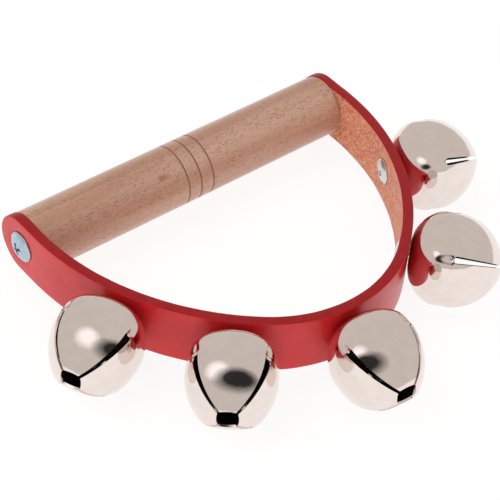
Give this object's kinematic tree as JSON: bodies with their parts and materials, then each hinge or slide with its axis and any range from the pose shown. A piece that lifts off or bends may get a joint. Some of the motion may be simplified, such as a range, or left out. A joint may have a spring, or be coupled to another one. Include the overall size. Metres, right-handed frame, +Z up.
{
  "type": "sleigh bells",
  "caption": "Hand-held sleigh bells: a turned wooden grip, a D-shaped leather strap screwed to its ends, and round slotted jingle bells riveted along the strap.",
  "frame": {"origin": "centre of the bounding box in plan, on the surface that the bells lie on", "axes": "+X along the wooden grip, -Y from the grip to the front of the D, +Z up, square to the flat of the D"},
  "size_m": [0.1793, 0.1347, 0.0296],
  "materials": {
    "beech": "bare sanded beech",
    "leather": "glossy dyed grain outside, bare flesh side inside",
    "zinc_plate": "bright zinc plate",
    "nickel_plate": "polished nickel plate",
    "rivet_nickel": "bright nickel plate",
    "pellet_steel": "plain ball steel"
  },
  "bodies": {
    "frame": {"handle": "beech", "strap": "leather", "screw_left": "zinc_plate", "screw_right": "zinc_plate", "rivet_1": "rivet_nickel", "rivet_2": "rivet_nickel", "rivet_3": "rivet_nickel", "rivet_4": "rivet_nickel", "rivet_5": "rivet_nickel"},
    "bell_1": {"bell_shell_1": "nickel_plate"},
    "pellet_1": {"pellet_1": "pellet_steel"},
    "bell_2": {"bell_shell_2": "nickel_plate"},
    "pellet_2": {"pellet_2": "pellet_steel"},
    "bell_3": {"bell_shell_3": "nickel_plate"},
    "pellet_3": {"pellet_3": "pellet_steel"},
    "bell_4": {"bell_shell_4": "nickel_plate"},
    "pellet_4": {"pellet_4": "pellet_steel"},
    "bell_5": {"bell_shell_5": "nickel_plate"},
    "pellet_5": {"pellet_5": "pellet_steel"}
  },
  "joints": [
    {"name": "bell_spin_1", "type": "hinge", "parent": "frame", "child": "bell_1", "pos_m": [-0.07215, 0.00559, 0.01479], "axis": [-0.8926, -0.4508, 0], "continuous": true},
    {"name": "pellet_rattle_1", "type": "slide", "parent": "bell_1", "child": "pellet_1", "axis": [0, 0, 1], "range_m": [0, 0.0197]},
    {"name": "bell_spin_2", "type": "hinge", "parent": "frame", "child": "bell_2", "pos_m": [-0.04657, -0.0302, 0.01479], "axis": [-0.68, -0.7332, 0], "continuous": true},
    {"name": "pellet_rattle_2", "type": "slide", "parent": "bell_2", "child": "pellet_2", "axis": [0, 0, 1], "range_m": [0, 0.0197]},
    {"name": "bell_spin_3", "type": "hinge", "parent": "frame", "child": "bell_3", "pos_m": [-0.0043, -0.05019, 0.01479], "axis": [-0.1459, -0.9893, 0], "continuous": true},
    {"name": "pellet_rattle_3", "type": "slide", "parent": "bell_3", "child": "pellet_3", "axis": [0, 0, 1], "range_m": [0, 0.0197]},
    {"name": "bell_spin_4", "type": "hinge", "parent": "frame", "child": "bell_4", "pos_m": [0.04577, -0.03101, 0.01479], "axis": [0.6831, -0.7303, 0], "continuous": true},
    {"name": "pellet_rattle_4", "type": "slide", "parent": "bell_4", "child": "pellet_4", "axis": [0, 0, 1], "range_m": [0, 0.0197]},
    {"name": "bell_spin_5", "type": "hinge", "parent": "frame", "child": "bell_5", "pos_m": [0.07321, 0.00857, 0.01479], "axis": [0.9236, -0.3833, 0], "continuous": true},
    {"name": "pellet_rattle_5", "type": "slide", "parent": "bell_5", "child": "pellet_5", "axis": [0, 0, 1], "range_m": [0, 0.0197]}
  ]
}
